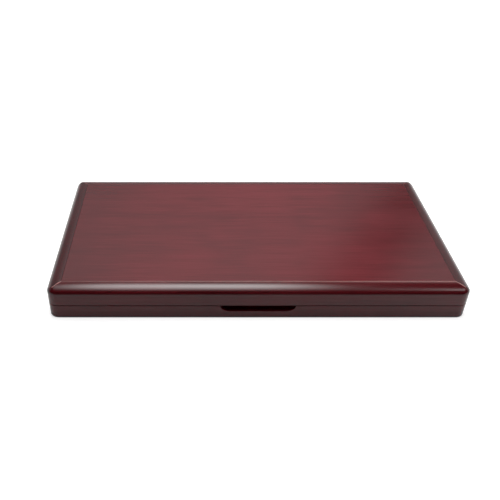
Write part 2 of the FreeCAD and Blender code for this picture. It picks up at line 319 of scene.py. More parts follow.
def hinge_rim(along):
    """The rear rim: the stop bevel, then flat, with a barrel groove and a leaf mortise at each hinge."""
    centre = np.array([pin_inset, -pin_above_rim])
    foot = arc(centre, groove_radius, groove_start, groove_end, 11)
    inner = foot[-1, 0]
    outer = np.array([0, seam_ease, foot[0, 0] - edge_support])
    floor = np.array([inner + edge_support, mortise_inset - edge_support, mortise_inset])
    wall_top = mortise_inset + mortise_lean
    rim = np.array([wall_top, wall_top + edge_support, rail_thickness])
    inset = np.hstack([outer, foot[:, 0], floor, rim])
    plain = np.maximum((bevel_run - inset) * bevel_slope, 0)
    sunk = np.hstack([plain[:3], foot[:, 1], np.full(3, mortise_depth), np.zeros(3)])
    at_hinge = np.abs(np.abs(along) - hinge_x) < mortise_half + mortise_gap / 2
    return inset, np.where(at_hinge[:, None], np.maximum(sunk, plain), plain)


def rail_run(side, cut_rims):
    """A rail's half length, its rows, and the insets and depths of its rim, which may be cut by a feature."""
    rows, rim = cut_rims.get(side, (np.zeros(1), plain_rim))
    half_length = half_width if side in ("front", "rear") else half_depth
    return half_length, rows, *rim(rows)


def base_rail(side, material):
    """A base rail: foot round, side, rim, wall of the well, rebate for the panel, underside."""
    cut_rims = {"front": (notch_rows(), notch_rim), "rear": (hinge_rows(), hinge_rim)}
    half_length, rows, rim_inset, rim_depth = rail_run(side, cut_rims)
    foot_centre = (foot_round, base_bottom + foot_round)
    foot = arc(foot_centre, foot_round, 270, 180, 6)
    rise = flat_run(foot[-1], (0, base_top - seam_ease))
    outside = np.vstack([foot, rise])
    rebate = [(bottom_rebate, bottom_panel_top), (bottom_rebate, base_bottom)]
    well = np.array([(rail_thickness, bottom_panel_top), *rebate])
    inset = np.hstack([outside[:, 0], rim_inset, well[:, 0]])
    rim = base_top - rim_depth
    lower = np.minimum(outside[:, 1], rim[:, :1] - edge_support)
    inside = np.broadcast_to(well[:, 1], (len(rows), len(well)))
    height = np.hstack([lower, rim, inside])
    corner = np.where(inset < bottom_rebate - edge_support, np.maximum(corner_radius - inset, 0), 0)
    points = place_rail(rail_points(half_length, inset, height, corner, rows), side)
    mesh = swept_mesh(f"base_{side}_rail_wood", points)
    return add_piece(mesh, material, "base", f"base_{side}_rail")


wood_along_x = lacquered_wood("lacquered_hardwood_along_x", "X")
wood_along_y = lacquered_wood("lacquered_hardwood_along_y", "Y")
rail_woods = {"front": wood_along_x, "rear": wood_along_x, "left": wood_along_y, "right": wood_along_y}
base_rails = {side: base_rail(side, material) for side, material in rail_woods.items()}


# Bottom panel
# A sheet of birch plywood, sanded and left bare, let up into a rebate under the base rails and
# glued there. The felt covers it below and the pad above.
birch_pale = "#c9a983"
birch_mid = "#b48f66"
birch_dark = "#94704b"


def dress(node, material):
    """Gives a CAD node that keeps its own shape a finished material."""
    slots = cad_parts[node].data.materials
    slots.clear()
    slots.append(material)


def mottled(name, broad, fine, tone_share, relief_share, tones, relief, surface, gloss=None):
    """A surface that a broad and a fine noise tint and roughen.

    Each noise is the size of its marks in millimetres and its detail. The shares are those of the
    fine noise in the tint and in the relief, and relief is a bump's strength and depth. Gloss, where
    it varies, is the fine noise's share in it and the roughness where the noise is low and high.
    """
    material, tree = new_material(name)
    clouds = grain(tree, *broad)
    specks = grain(tree, *fine)
    tint = add_node(tree, "Mix", {0: tone_share, 2: clouds, 3: specks})[0]
    height = add_node(tree, "Mix", {0: relief_share, 2: clouds, 3: specks})[0]
    strength, depth = relief
    look = {
        "Base Color": add_node(tree, "ValToRGB", {"Fac": tint}, tones)[0],
        "Normal": add_node(tree, "Bump", {"Height": height, "Strength": strength, "Distance": depth})[0],
        "IOR": 1.5,
    }
    if gloss:
        share, low, high = gloss
        haze = add_node(tree, "Mix", {0: share, 2: clouds, 3: specks})[0]
        dull = {"Value": haze, "From Min": 0.3, "From Max": 0.7, "To Min": low, "To Max": high}
        look["Roughness"] = add_node(tree, "MapRange", dull)[0]
    shader = add_node(tree, "BsdfPrincipled", look | surface)[0]
    add_node(tree, "OutputMaterial", {"Surface": shader})
    return material


# Rotary-cut birch veneer: pale, with broad flowing bands, short dark flecks and a dull sanded face.
birch_plywood = mottled(
    "birch_plywood",
    broad=((180, 22, 6), 3.0),
    fine=((5, 0.5, 0.5), 1.0),
    tone_share=0.3,
    relief_share=1.0,
    tones=[(0.35, birch_dark), (0.5, birch_mid), (0.65, birch_pale)],
    relief=(0.3, 0.1 * mm),
    surface={"Roughness": 0.65},
)
dress("base_bottom_panel", birch_plywood)


# Felt sheet
# A sheet of pressed black felt, cut with a knife and glued under the base. It stands a little
# proud of the rails, so that the case rests on it and doesn't scratch a table.
felt_low, felt_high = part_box("base_felt_sheet")
felt_edge = 0.25 * mm
felt_corner = 0.8 * mm
felt_dark = "#100e0f"
felt_light = "#2a2626"


def slab_mesh(name, half_x, half_y, corner, section):
    """A slab: a section of insets and heights carried round a rounded rectangle, capped at both ends."""
    steps = 7
    quarter = np.arange(4)[:, None] * 90
    turn = np.radians(quarter + np.linspace(0, 90, steps)).ravel()
    middle = np.radians(quarter + 45).repeat(steps)
    radius = corner - section[:, :1]
    x = np.sign(np.cos(middle)) * (half_x - corner) + radius * np.cos(turn)
    y = np.sign(np.sin(middle)) * (half_y - corner) + radius * np.sin(turn)
    z = np.broadcast_to(section[:, 1:], x.shape)
    return swept_mesh(name, np.stack([x, y, z], 2)[::-1])


# Pressed wool felt: matted fibres in two blacks with no weave, quite matt with a soft bloom.
pressed_felt = mottled(
    "pressed_black_felt",
    broad=(1.6, 4.0),
    fine=(0.35, 2.0),
    tone_share=0.5,
    relief_share=0.5,
    tones=[(0.35, felt_dark), (0.68, felt_light)],
    relief=(0.6, 0.3 * mm),
    surface={"Roughness": 0.95, "Sheen Weight": 0.3, "Sheen Roughness": 0.6},
)
felt_foot = arc((felt_edge, felt_low.z + felt_edge), felt_edge, 270, 180, 4)
felt_head = arc((felt_edge, felt_high.z - felt_edge), felt_edge, 180, 90, 4)
felt_section = np.vstack([felt_foot, felt_head])
felt_mesh = slab_mesh("base_felt_sheet_cloth", felt_high.x, felt_high.y, felt_corner, felt_section)
felt = add_piece(felt_mesh, pressed_felt, "base", "base_felt_sheet")


# Liners
# Four wooden strips wrapped in black velvet and glued round the well. They stand proud of the
# rim, so that the lid drops over them, and the two short ones butt against the long ones.
liner_round = 1.2 * mm
liner_end_ease = 0.7 * mm
velvet_deep = "#0a0809"
velvet_lifted = "#221d1f"
velvet_bloom = "#b8b0b4"


def liner(side, material):
    """A liner: a strip with a rounded top, carried along its wall, its ends drawn in by a quarter round.

    A row at t degrees of an end's quarter round lies ease * (1 - cos t) from the end, where the
    section is drawn in by ease * (1 - sin t).
    """
    node = f"base_liner_{side}"
    low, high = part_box(node)
    lengthwise = side in ("front", "rear")
    start, end = (low.x, high.x) if lengthwise else (low.y, high.y)
    left, right = (low.y, high.y) if lengthwise else (low.x, high.x)
    turn = np.radians(np.linspace(0, 90, 6))
    inward = liner_end_ease * (1 - np.cos(turn))
    along = np.hstack([start + inward, end - inward[::-1]])
    drawn_in = liner_end_ease * (1 - np.sin(turn))
    drawn_in = np.hstack([drawn_in, drawn_in[::-1]])[:, None]
    half = (right - left) / 2
    top = high.z - liner_round
    right_round = arc((half - liner_round, top), liner_round, 0, 90, 8)
    left_round = arc((liner_round - half, top), liner_round, 90, 180, 8)
    section = np.vstack([[(half, low.z)], right_round, left_round, [(-half, low.z)]])
    across = section[:, 0] * (1 - drawn_in / half)
    rise = np.where(section[:, 1] > low.z, section[:, 1] - drawn_in, low.z)
    line = np.broadcast_to(along[:, None], across.shape)
    middle = (left + right) / 2
    points = [line, middle + across, rise] if lengthwise else [middle - across, line, rise]
    mesh = swept_mesh(f"{node}_velvet", np.stack(points, 2)[::-1])
    add_piece(mesh, material, "base", node)


# Short-pile velvet: near black, with lighter patches where the nap lies over and a pale bloom.
velvet_sheen = {"Sheen Weight": 0.5, "Sheen Roughness": 0.35, "Sheen Tint": linear(velvet_bloom)}
velvet = mottled(
    "black_velvet",
    broad=((26, 14, 14), 3.0),
    fine=(0.45, 1.0),
    tone_share=0.25,
    relief_share=0.25,
    tones=[(0.38, velvet_deep), (0.66, velvet_lifted)],
    relief=(0.5, 0.4 * mm),
    surface={"Roughness": 0.9, **velvet_sheen},
)
for side in rail_woods:
    liner(side, velvet)


# Base pad
# Foam on a greyboard, wrapped in the same velvet and pressed down between the liners. The cover
# is drawn under at the edges, rolls over them and rises in a low crown.
board_grey = "#8f8a82"
board_fleck = "#6f6a62"
pad_tuck = 0.5 * mm
pad_corner = 3 * mm
pad_squeeze = 0.45 * mm
pad_grid = 4 * mm
pad_crease = math.radians(60)
swell_share = 0.35
roll_share = 0.86
base_pad_roll = 2 * mm
base_pad_crown = 24 * mm
settle_frames = 14
settle_most = 0.8 * mm
cover_pressure = 0.8
cover_slack = 0.004
glued_rings = 7


def pad_profile(roll, crown, thickness):
    """A pad's edge as insets and heights, from its tucked foot to its level middle.

    The foot swells out of the tuck along a quarter ellipse to about a third of the height, a
    second quarter ellipse rolls over the edge, and the crown eases up to the full height as 1 - (1 - q)^2.
    """
    swell_height = swell_share * thickness
    roll_height = roll_share * thickness
    swell = arc((pad_tuck, swell_height), (pad_tuck, swell_height), 270, 180, 4)
    over = arc((roll, swell_height), (roll, roll_height - swell_height), 180, 90, 8)[1:]
    q = np.linspace(0, 1, 8)[1:]
    rise = roll_height + (thickness - roll_height) * (1 - (1 - q) ** 2)
    return np.vstack([swell, over, np.stack([roll + q * (crown - roll), rise], 1)])


def pad_lines(half, spread):
    """Places of the grid's lines across a pad: the rings of both edges, and even lines between them."""
    inner = half - spread[-1]
    count = 2 * round(inner / pad_grid) + 1
    return np.hstack([spread - half, np.linspace(-inner, inner, count)[1:-1], half - spread[::-1]])


def pad_points(half_x, half_y, profile):
    """A pad's face as a grid of points, whose outer rings follow a profile of insets and heights.

    A point's ring is its least count of lines to an edge. Rings are spread evenly before they are
    drawn to their insets. Near a corner a point (a, b), in corner radii past the start of the
    round, goes to (a, b) / sqrt(a^2 + b^2) * max(a, b).
    """
    rings = len(profile)
    spread = np.linspace(0, profile[-1, 0], rings)
    line_x, line_y = pad_lines(half_x, spread), pad_lines(half_y, spread)
    count_x, count_y = np.arange(len(line_x)), np.arange(len(line_y))
    edge_x, edge_y = np.minimum(count_x, count_x[::-1]), np.minimum(count_y, count_y[::-1])
    ring = np.minimum(np.minimum(edge_x[:, None], edge_y), rings - 1)
    inset = profile[ring, 0]
    x = line_x[:, None] * (half_x - inset) / (half_x - spread[ring])
    y = line_y * (half_y - inset) / (half_y - spread[ring])
    a = np.maximum(np.abs(x) - (half_x - inset - pad_corner), 0)
    b = np.maximum(np.abs(y) - (half_y - inset - pad_corner), 0)
    in_round = (a > 0) & (b > 0)
    shortened = 1 - np.where(in_round, np.maximum(a, b) / np.hypot(a, np.where(in_round, b, 1)), 1)
    x = x - np.sign(x) * a * shortened
    y = y - np.sign(y) * b * shortened
    return np.stack([x, y, profile[ring, 1]], 2), ring


def pad_mesh(name, points):
    """A closed pad: four-sided faces over the grid, and one face behind its outer ring."""
    index = np.arange(points[..., 0].size).reshape(points.shape[:2])
    quads = np.stack([index[:-1, :-1], index[1:, :-1], index[1:, 1:], index[:-1, 1:]], 2).reshape(-1, 4)
    rim = np.hstack([index[:-1, 0], index[-1, :-1], index[:0:-1, -1], index[0, :0:-1]])
    mesh = bpy.data.meshes.new(name)
    mesh.from_pydata(points.reshape(-1, 3).tolist(), [], quads.tolist() + [rim[::-1].tolist()])
    mesh.shade_smooth()
    mesh.set_sharp_from_angle(angle=pad_crease)
    return mesh


def settle_cover(piece, ring):
    """Lets a pad's cover swell as cloth from its glued rings, and keeps the shape it settles to.

    No point moves further than settle_most.
    """
    start = np.empty(3 * ring.size)
    piece.data.vertices.foreach_get("co", start)
    glued = np.nonzero(ring.ravel() < glued_rings)[0].tolist()
    piece.vertex_groups.new(name="glued").add(glued, 1.0, "REPLACE")
    cloth = piece.modifiers.new("cover", "CLOTH")
    cloth.settings.vertex_group_mass = "glued"
    cloth.settings.use_pressure = True
    cloth.settings.uniform_pressure_force = cover_pressure
    cloth.settings.shrink_min = -cover_slack
    cloth.settings.effector_weights.gravity = 0
    cloth.point_cache.frame_end = settle_frames
    for moment in range(1, settle_frames + 1):
        scene.frame_set(moment)
    settled = np.empty_like(start)
    shape = piece.evaluated_get(bpy.context.evaluated_depsgraph_get()).data
    shape.vertices.foreach_get("co", settled)
    piece.modifiers.remove(cloth)
    piece.vertex_groups.clear()
    scene.frame_set(1)
    move = (settled - start).reshape(-1, 3)
    far = np.linalg.norm(move, axis=1, keepdims=True)
    move *= settle_most / np.maximum(far, settle_most)
    piece.data.vertices.foreach_set("co", start + move.ravel())


def wrapped_pad(node, body, facing, roll, crown, material):
    """A pad in place of its CAD node, facing up (1) or down (-1), its cover settled."""
    low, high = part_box(node)
    profile = pad_profile(roll, crown, high.z - low.z)
    points, ring = pad_points(high.x + pad_squeeze, high.y + pad_squeeze, profile)
    back = low.z if facing > 0 else high.z
    points[..., 2] = back + facing * points[..., 2]
    piece = add_piece(pad_mesh(f"{node}_cover", points[::facing]), material, body, node)
    settle_cover(piece, ring[::facing])


# Uncoated greyboard: pulped paper, even grey with short flecks of darker fibre, matt.
greyboard = mottled(
    "greyboard",
    broad=(6, 3.0),
    fine=((1.4, 0.5, 0.5), 1.0),
    tone_share=0.5,
    relief_share=0.5,
    tones=[(0.36, board_fleck), (0.6, board_grey)],
    relief=(0.3, 0.1 * mm),
    surface={"Roughness": 0.85},
)
dress("base_pad_board", greyboard)
wrapped_pad("base_pad", "base", 1, base_pad_roll, base_pad_crown, velvet)


# Lid frame
# Four more rails of the same wood, with a convex moulding run along each before the mitres were
# cut. The hips are crisp at the panel and fade into the rounded upright corners.
lid_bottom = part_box("lid_front_rail")[0].z
lid_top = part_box("lid_front_rail")[1].z
lid_panel_low, lid_panel_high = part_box("lid_top_panel")
moulding_run = half_width - lid_panel_high.x - panel_clearance
moulding_rise = 6.1 * mm
moulding_foot = lid_top - moulding_rise
hip_ease = 0.6 * mm
hip_fade = 6.0 * mm
crisp_hip = 2.5 * hip_ease
moulding_steps = 49
arris_ease = 0.2 * mm
# Pale rub at the hips and the front arris: partly wear, partly a painted highlight.
rub_and_highlight_reach = 0.5 * mm
arris_rub_and_highlight_reach = 0.9 * mm
arris_rub_and_highlight_most = 0.95
rear_rub_and_highlight = 0.15
wear_and_highlight_middle = -60 * mm
wear_and_highlight_wave = 270 * mm
# Painted shade along the mouldings, fading in above their foot.
painted_shade_fade = 0.6 * mm
moulding_painted_shade = 0.65
end_moulding_painted_shade = 1.0


def wear_and_highlight_along(x):
    """Wear and painted highlight along the front edge, from 0 to 1 by a cosine wave."""
    return (1 + np.cos(2 * math.pi * (x - wear_and_highlight_middle) / wear_and_highlight_wave)) / 2


def lid_rail(side, material):
    """A lid rail: side, moulding, eased arris, rebate for the panel, wall, rim.

    The moulding is a quarter ellipse: its inset is run * (1 - cos t) and it rises by rise * sin t.
    The corner's radius falls from that of the upright corner to the hip's ease as
    (1 - inset / fade)^1.5.
    """
    half_length, rows, rim_inset, rim_depth = rail_run(side, {"rear": (hinge_rows(), hinge_rim)})
    rise = flat_run((0, lid_bottom + seam_ease), (0, moulding_foot))
    last = 90 - math.degrees(math.asin(arris_ease / moulding_run))
    radii = (moulding_run, moulding_rise)
    moulding = arc((moulding_run, moulding_foot), radii, 180, 180 - last, moulding_steps)
    arris_centre = (moulding_run - arris_ease, lid_top - arris_ease)
    arris = arc(arris_centre, arris_ease, 70, 0, 5)
    rebate = [(moulding_run, lid_panel_low.z), (rail_thickness, lid_panel_low.z)]
    outside = np.vstack([rise, moulding, arris, rebate])
    inset = np.hstack([outside[:, 0], rim_inset[::-1]])
    rim = lid_bottom + rim_depth
    upper = np.maximum(outside[:, 1], rim[:, :1] + edge_support)
    height = np.hstack([upper, rim[:, ::-1]])
    moulded = np.arange(len(inset)) < len(outside) - len(rebate)
    fading = np.maximum(1 - inset / hip_fade, 0)
    hip = hip_ease + (corner_radius - hip_ease) * fading ** 1.5
    corner = np.where(moulded, hip, np.maximum(corner_radius - inset, 0))
    corner = np.where(inset > moulding_run - edge_support, 0, corner)
    flat = rail_points(half_length, inset, height, corner, rows)
    placed = place_rail(flat, side)
    mesh = swept_mesh(f"lid_{side}_rail_wood", placed)
    # The rub pales the crisp hips and, at the front, the arris: partly wear, partly a painted highlight.
    to_mitre = np.abs(half_length - np.abs(flat[..., 0]) - flat[..., 1])
    crisp = (corner < crisp_hip) & moulded
    rub_and_highlight = np.where(crisp, np.exp(-(to_mitre / rub_and_highlight_reach) ** 2), 0)
    if side == "front":
        arris_rub_and_highlight = np.where(moulded, np.exp(-((moulding_run - inset) / arris_rub_and_highlight_reach) ** 2), 0)
        rub_and_highlight = np.maximum(rub_and_highlight, arris_rub_and_highlight * arris_rub_and_highlight_most * wear_and_highlight_along(flat[..., 0]))
    store(mesh, "edge_rub_and_highlight", rub_and_highlight * np.where(placed[..., 1] < 0, 1.0, rear_rub_and_highlight))
    # Painted shade on the moulding: full on the end rails, lighter on the front and rear ones.
    painted_shade_amount = moulding_painted_shade if side in ("front", "rear") else end_moulding_painted_shade
    painted_shade_amount = painted_shade_amount * np.clip((flat[..., 2] - moulding_foot) / painted_shade_fade, 0, 1)
    store(mesh, "painted_shade", np.where(moulded, painted_shade_amount, 0))
    return add_piece(mesh, material, "lid", f"lid_{side}_rail")


lid_rails = {side: lid_rail(side, material) for side, material in rail_woods.items()}
front_rails = {"base": base_rails["front"], "lid": lid_rails["front"]}


# Lid top panel
# A veneered panel let in flush between the mouldings, lacquered with them. Its edges are eased,
# so the joint shows as a fine line all round.
panel_ease = 0.25 * mm
panel_corner = 0.6 * mm
# Painted shade on the panel towards the ends of the case.
panel_painted_shade = 0.45
# Pale rub on the panel's eased edge, most at the front: partly wear, partly a painted highlight.
panel_front_rub_and_highlight = 0.9
panel_other_rub_and_highlight = 0.1
panel_half_x = lid_panel_high.x
panel_half_y = lid_panel_high.y

panel_wall = flat_run((0, lid_panel_low.z), (0, lid_top - panel_ease))
panel_edge = arc((panel_ease, lid_top - panel_ease), panel_ease, 180, 90, 6)
panel_face = [(panel_ease + edge_support, lid_top)]
panel_section = np.vstack([[(0, lid_panel_low.z)], panel_wall, panel_edge, panel_face])
panel_mesh = slab_mesh("lid_top_panel_veneer", panel_half_x, panel_half_y, panel_corner, panel_section)
# The eased edge's rows take the pale rub: partly wear, partly a painted highlight along the front.
rubbed_and_lit_rows = (panel_section[:, 1] > lid_top - panel_ease) & (panel_section[:, 0] <= panel_ease)
rub_and_highlight = np.repeat(rubbed_and_lit_rows[::-1], len(panel_mesh.vertices) // len(panel_section)).astype(float)
place = np.array([point.co for point in panel_mesh.vertices])
at_front = place[:, 1] < panel_ease - panel_half_y
rub_and_highlight *= np.where(at_front, panel_front_rub_and_highlight * wear_and_highlight_along(place[:, 0]), panel_other_rub_and_highlight)
store(panel_mesh, "edge_rub_and_highlight", rub_and_highlight)
veneer = lacquered_wood("lacquered_veneer", "X", panel_painted_shade)
add_piece(panel_mesh, veneer, "lid", "lid_top_panel")


# Lid lining
# A thicker pad of the same make, wrapped in ivory satin and glued up under the top panel. It
# faces down on to whatever lies in the well.
satin_shade = "#cfc4ab"
satin_light = "#e8dfcb"
lid_pad_roll = 3.4 * mm
lid_pad_crown = 30 * mm

# Ivory satin weave: smooth floats that shine along the thread, with soft watery patches. A thread is
# about 0.15 mm across, and is drawn three times as coarse so that it shows.
ivory_satin = mottled(
    "ivory_satin",
    broad=((60, 30, 30), 1.0),
    fine=((7, 0.45, 0.45), 2.0),
    tone_share=0.6,
    relief_share=1.0,
    tones=[(0.34, satin_shade), (0.62, satin_light)],
    relief=(0.25, 0.15 * mm),
    surface={"Roughness": 0.38, "Sheen Weight": 0.15, "Sheen Roughness": 0.3, "Anisotropic": 0.5},
)
dress("lid_pad_board", greyboard)
wrapped_pad("lid_pad", "lid", -1, lid_pad_roll, lid_pad_crown, ivory_satin)


# Hinges
# Two brass butt hinges let into the back rails. Each leaf is stamped from sheet as a comb, its
# teeth are rolled round a brass pin, and tumbling takes the sharpness off every edge.
pin_height = base_top + pin_above_rim
pin_radius = (pin_high.z - pin_low.z) / 2
pin_clearance = 0.05 * mm
pin_dome = 0.3 * mm
barrel_radius = (leaf_high.z - leaf_low.z) / 2
sheet_thickness = barrel_radius - pin_radius - pin_clearance
hinge_length = leaf_high.x - leaf_low.x
knuckle_count = 3
knuckle_gap = 0.15 * mm
roll_turn = 265
tumbled_edge = 0.12 * mm
brass_dark = "#8a6630"
brass_light = "#c9a258"


def leaf_path():
    """The middle of a leaf's sheet as insets from the back and distances from the pin's level.

    It runs back along the plate, eases over by a half cosine to the pin's tangent, and goes round
    the pin by roll_turn degrees. The first three points are the plate.
    """
    radius = barrel_radius - sheet_thickness / 2
    plate_level = pin_above_rim + sheet_thickness / 2
    plate_end = pin_inset + groove_radius
    plate = np.linspace(mortise_inset - mortise_clearance, plate_end, 3)
    q = np.linspace(0, 1, 7)[1:]
    bend = plate_end + (pin_inset - plate_end) * q
    bend_level = plate_level + (radius - plate_level) * (1 - np.cos(math.pi * q)) / 2
    roll = arc((pin_inset, 0), radius, 90, 90 + roll_turn, 25)[1:]
    inset = np.hstack([plate, bend, roll[:, 0]])
    return inset, np.hstack([np.full(3, plate_level), bend_level, roll[:, 1]])


def leaf_mesh(name, centre, facing, own_knuckles):
    """A leaf's sheet: its path carried along the hinge, of which only its own knuckles pass the plate."""
    inset, away = leaf_path()
    pitch = hinge_length / knuckle_count
    starts = np.arange(knuckle_count) * pitch - hinge_length / 2
    knuckles = np.stack([starts + knuckle_gap / 2, starts + pitch - knuckle_gap / 2], 1)
    knuckles[[0, -1], [0, 1]] = -hinge_length / 2, hinge_length / 2
    own = knuckles[own_knuckles]
    line = np.unique(np.hstack([[-hinge_length / 2, hinge_length / 2], own.ravel()]))
    middle = (line[1:] + line[:-1])[:, None] / 2
    rolled = ((middle > own[:, 0]) & (middle < own[:, 1])).any(1)
    y = half_depth - inset[:, None]
    points = np.broadcast_arrays(centre + line, y, pin_height - facing * away[:, None])
    index = np.arange(line.size * inset.size).reshape(inset.size, line.size)
    quads = np.stack([index[:-1, :-1], index[:-1, 1:], index[1:, 1:], index[1:, :-1]], 2)
    kept = np.zeros(quads.shape[:2], bool)
    kept[:2] = True
    kept[:, rolled] = True
    used, corners = np.unique(quads[kept], return_inverse=True)
    mesh = bpy.data.meshes.new(name)
    places = np.stack(points, 2).reshape(-1, 3)[used]
    mesh.from_pydata(places.tolist(), [], corners.reshape(-1, 4).tolist())
    return mesh


def rolled_leaf(side, body, centre, facing, own_knuckles):
    """A leaf in place of its CAD node: its sheet given its thickness, and every edge tumbled round."""
    node = f"hinge_{side}_{body}_leaf"
    mesh = leaf_mesh(f"{node}_brass", centre, facing, own_knuckles)
    piece = add_piece(mesh, brass, body, node)
    sheet = piece.modifiers.new("sheet", "SOLIDIFY")
    sheet.thickness = sheet_thickness
    sheet.offset = 0
    sheet.use_even_offset = True
    tumbled = piece.modifiers.new("tumbled", "BEVEL")
    tumbled.width = tumbled_edge
    tumbled.segments = 2
    tumbled.angle_limit = crease_angle
    return piece


def hinge_pin(side, centre):
    """A pin: a round rod along the hinge with a low dome at each end, a quarter ellipse in section."""
    dome = arc((hinge_length / 2 - pin_dome, 0), (pin_dome, pin_radius), 84, 0, 7)
    along = np.hstack([dome[:, 0][::-1], -dome[:, 0]])
    radius = np.hstack([dome[:, 1][::-1], dome[:, 1]])
    turn = np.linspace(0, 2 * math.pi, 24, endpoint=False)
    y = half_depth - pin_inset + radius[:, None] * np.cos(turn)
    z = pin_height + radius[:, None] * np.sin(turn)
    x = np.broadcast_to(centre + along[:, None], y.shape)
    node = f"hinge_{side}_pin"
    add_piece(swept_mesh(f"{node}_brass", np.stack([x, y, z], 2)), brass, "base", node)


# Tumbled yellow brass: bright, browner in small clouds, hazed by fine all-over scuffs. A scuff is about
# 0.05 mm wide, and is drawn four times as coarse so that it shows.
brass = mottled(
    "tumbled_brass",
    broad=(5, 3.0),
    fine=((1.4, 0.2, 0.2), 2.0),
    tone_share=0.0,
    relief_share=1.0,
    tones=[(0.3, brass_dark), (0.6, brass_light)],
    relief=(0.15, 0.05 * mm),
    surface={"Metallic": 1.0},
    gloss=(0.0, 0.38, 0.24),
)
hinge_places = {"left": -hinge_x, "right": hinge_x}
leaves = {"base": [], "lid": []}
for side, centre in hinge_places.items():
    leaves["base"].append(rolled_leaf(side, "base", centre, 1, [0, 2]))
    leaves["lid"].append(rolled_leaf(side, "lid", centre, -1, [1]))
    hinge_pin(side, centre)


# Hinge screws
# Eight slotted brass wood screws with countersunk heads, four down into the base rail and four
# up into the lid rail. Driven by hand, their slots stand at odd angles.
screw_low, screw_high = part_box("base_hinge_screws")
head_radius = (screw_high.y - screw_low.y) / 2
screw_length = screw_high.z - screw_low.z
screw_y = (screw_high.y + screw_low.y) / 2
screw_offset = screw_high.x - head_radius - hinge_x
screw_radius = 1.1 * mm
screw_neck = 0.9 * mm
screw_tip = 1.2 * mm
thread_pitch = 1.1 * mm
thread_depth = 0.25 * mm
head_dome = 0.12 * mm
slot_width = 0.6 * mm
slot_depth = 0.7 * mm
slot_reach = 1.5
hole_room = 0.12 * mm
point_share = 0.05
crown_radius = 0.02 * mm
turn_steps = 32
thread_steps = 8
slot_angles = {"base": [12, 74, -31, 48], "lid": [-58, 20, 83, -9]}


def turned(places, y, level, facing, radius, depth):
    """Forms turned about upright axes: a radius at each depth behind a level face that looks up or down.

    A radius may also vary round the axis, in a second column for each of the steps of the turn.
    """
    turn = np.linspace(0, 2 * math.pi, turn_steps, endpoint=False)
    radius = np.broadcast_to(radius.reshape(len(depth), -1), (len(depth), turn_steps))
    x = np.array(places)[:, None, None] + radius * np.cos(turn)
    y = np.broadcast_to(y + radius * np.sin(turn), x.shape)
    z = np.broadcast_to(level - facing * depth[:, None], x.shape)
    return np.stack([x, y, z], 3)[:, ::facing]


def cut_away(piece, forms):
    """Cuts closed forms out of a piece, after its modifiers, and keeps what is left as its mesh."""
    tool = bpy.data.objects.new("tool", swept_mesh("tool", forms))
    scene.collection.objects.link(tool)
    cut = piece.modifiers.new("cut", "BOOLEAN")
    cut.object = tool
    cut.solver = "MANIFOLD"
    graph = bpy.context.evaluated_depsgraph_get()
    shape = piece.evaluated_get(graph)
    mesh = bpy.data.meshes.new_from_object(shape, preserve_all_data_layers=True, depsgraph=graph)
    mesh.name = piece.data.name
    piece.modifiers.clear()
    piece.data = mesh
    bpy.data.objects.remove(tool)
    mesh.shade_smooth()
    mesh.set_sharp_from_angle(angle=crease_angle)


def screw_section():
    """A screw's radii and depths: a low dome, a 45 degree head, a neck, a thread and a point.

    The thread's radius dips by thread_depth * |2 f - 1|, where f is the fraction of depth / pitch
    less the turn, and the point narrows it in a straight line.
    """
    dome = arc((0, 0), (head_radius, head_dome), 12, 90, 6)[::-1]
    neck_start = head_radius - screw_radius
    thread_start = neck_start + screw_neck
    depth = np.arange(thread_start, screw_length, thread_pitch / thread_steps)
    turn = np.arange(turn_steps) / turn_steps
    f = (depth[:, None] / thread_pitch - turn) % 1
    thread = screw_radius - thread_depth * np.abs(2 * f - 1)
    thread *= np.clip((screw_length - depth) / screw_tip, point_share, 1)[:, None]
    smooth_radius = np.hstack([np.maximum(dome[:, 0], crown_radius), [head_radius, screw_radius]])
    smooth_depth = np.hstack([-dome[:, 1], [0, neck_start]])
    radius = np.vstack([np.repeat(smooth_radius[:, None], turn_steps, 1), thread])
    return radius, np.hstack([smooth_depth, depth])


def slot_forms(places, level, angles):
    """Bars laid across screw heads at their angles, as deep as the slots and longer than the heads."""
    turn = np.radians(angles)[:, None, None]
    along = np.array([slot_reach, -slot_reach])[:, None] * head_radius
    across = np.array([-0.5, 0.5, 0.5, -0.5]) * slot_width
    height = np.array([-1, -1, 1, 1]) * slot_depth
    x = np.array(places)[:, None, None] + along * np.cos(turn) - across * np.sin(turn)
    y = screw_y + along * np.sin(turn) + across * np.cos(turn)
    z = np.broadcast_to(level + height, x.shape)
    return np.stack([x, y, z], 3)


def hinge_screws(body, level, facing):
    """The screws of the base or of the lid, sunk in their leaves, with a slot cut in each head."""
    node = f"{body}_hinge_screws"
    places = [side * hinge_x + offset for side in (-1, 1) for offset in (-screw_offset, screw_offset)]
    radius, depth = screw_section()
    mesh = swept_mesh(f"{node}_brass", turned(places, screw_y, level, facing, radius, depth))
    piece = add_piece(mesh, brass, body, node)
    cut_away(piece, slot_forms(places, level, slot_angles[body]))
    hole = np.array([2 * head_radius, screw_radius, screw_radius]) + hole_room
    hole_depth = np.array([-head_radius, head_radius - screw_radius, 4 * sheet_thickness])
    for k, leaf in enumerate(leaves[body]):
        cut_away(leaf, turned(places[2 * k:2 * k + 2], screw_y, level, facing, hole, hole_depth))


hinge_screws("base", base_top, 1)
hinge_screws("lid", lid_bottom, -1)


# Magnets
# Two pairs of nickel-plated disc magnets, glued into pockets bored in the front rails, a hair
# below the rims. They hold the lid shut without a latch.
magnet_low, magnet_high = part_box("base_magnets")
magnet_radius = (magnet_high.y - magnet_low.y) / 2
magnet_thickness = magnet_high.z - magnet_low.z
magnet_x = magnet_high.x - magnet_radius
magnet_y = (magnet_high.y + magnet_low.y) / 2
magnet_edge = 0.3 * mm
pocket_room = 0.12 * mm
nickel_dark = "#8f8b84"
nickel_light = "#c4c0b8"


